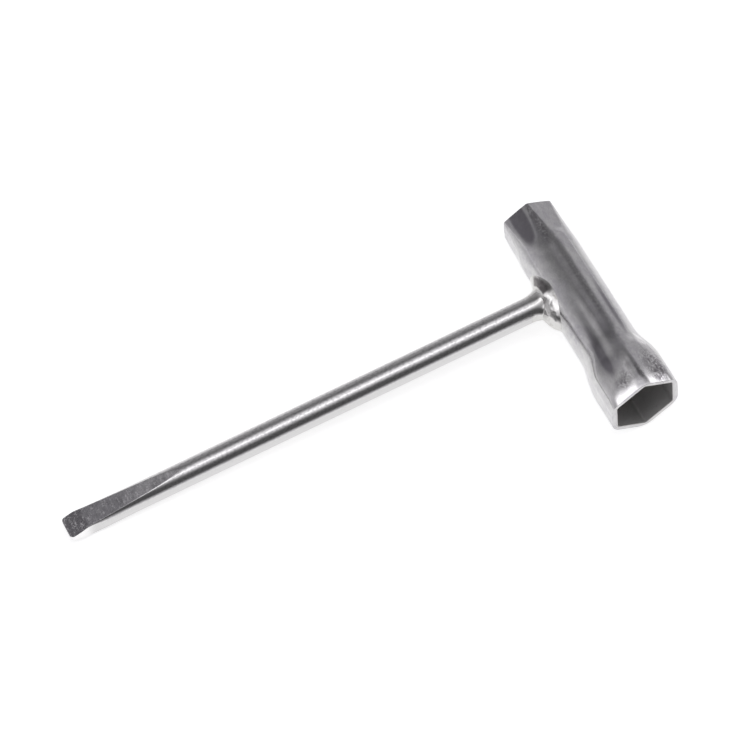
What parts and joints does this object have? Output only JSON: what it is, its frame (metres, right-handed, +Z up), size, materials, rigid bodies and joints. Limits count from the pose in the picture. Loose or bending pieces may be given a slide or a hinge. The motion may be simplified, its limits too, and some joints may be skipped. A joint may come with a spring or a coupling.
{
  "type": "chainsaw scrench",
  "caption": "T-shaped plated steel hand tool: a tube formed to a hex socket at each end, welded across a round bar that ends in a flat screwdriver blade.",
  "frame": {"origin": "centre of the tool's footprint, on the bench that it lies on", "axes": "+X along the bar from the blade to the tube, +Y along the tube towards the small socket, +Z up from the bench"},
  "size_m": [0.185, 0.0776, 0.0261],
  "materials": {
    "plated_bar": "bright plated steel bar with fine drawn lines",
    "plated_tube": "bright plated formed steel tube with a faint haze",
    "plated_weld": "plated weld metal, rippled and satin"
  },
  "bodies": {
    "root": {"driver_shaft": "plated_bar", "socket_tube": "plated_tube", "weld_bead": "plated_weld"}
  },
  "joints": []
}
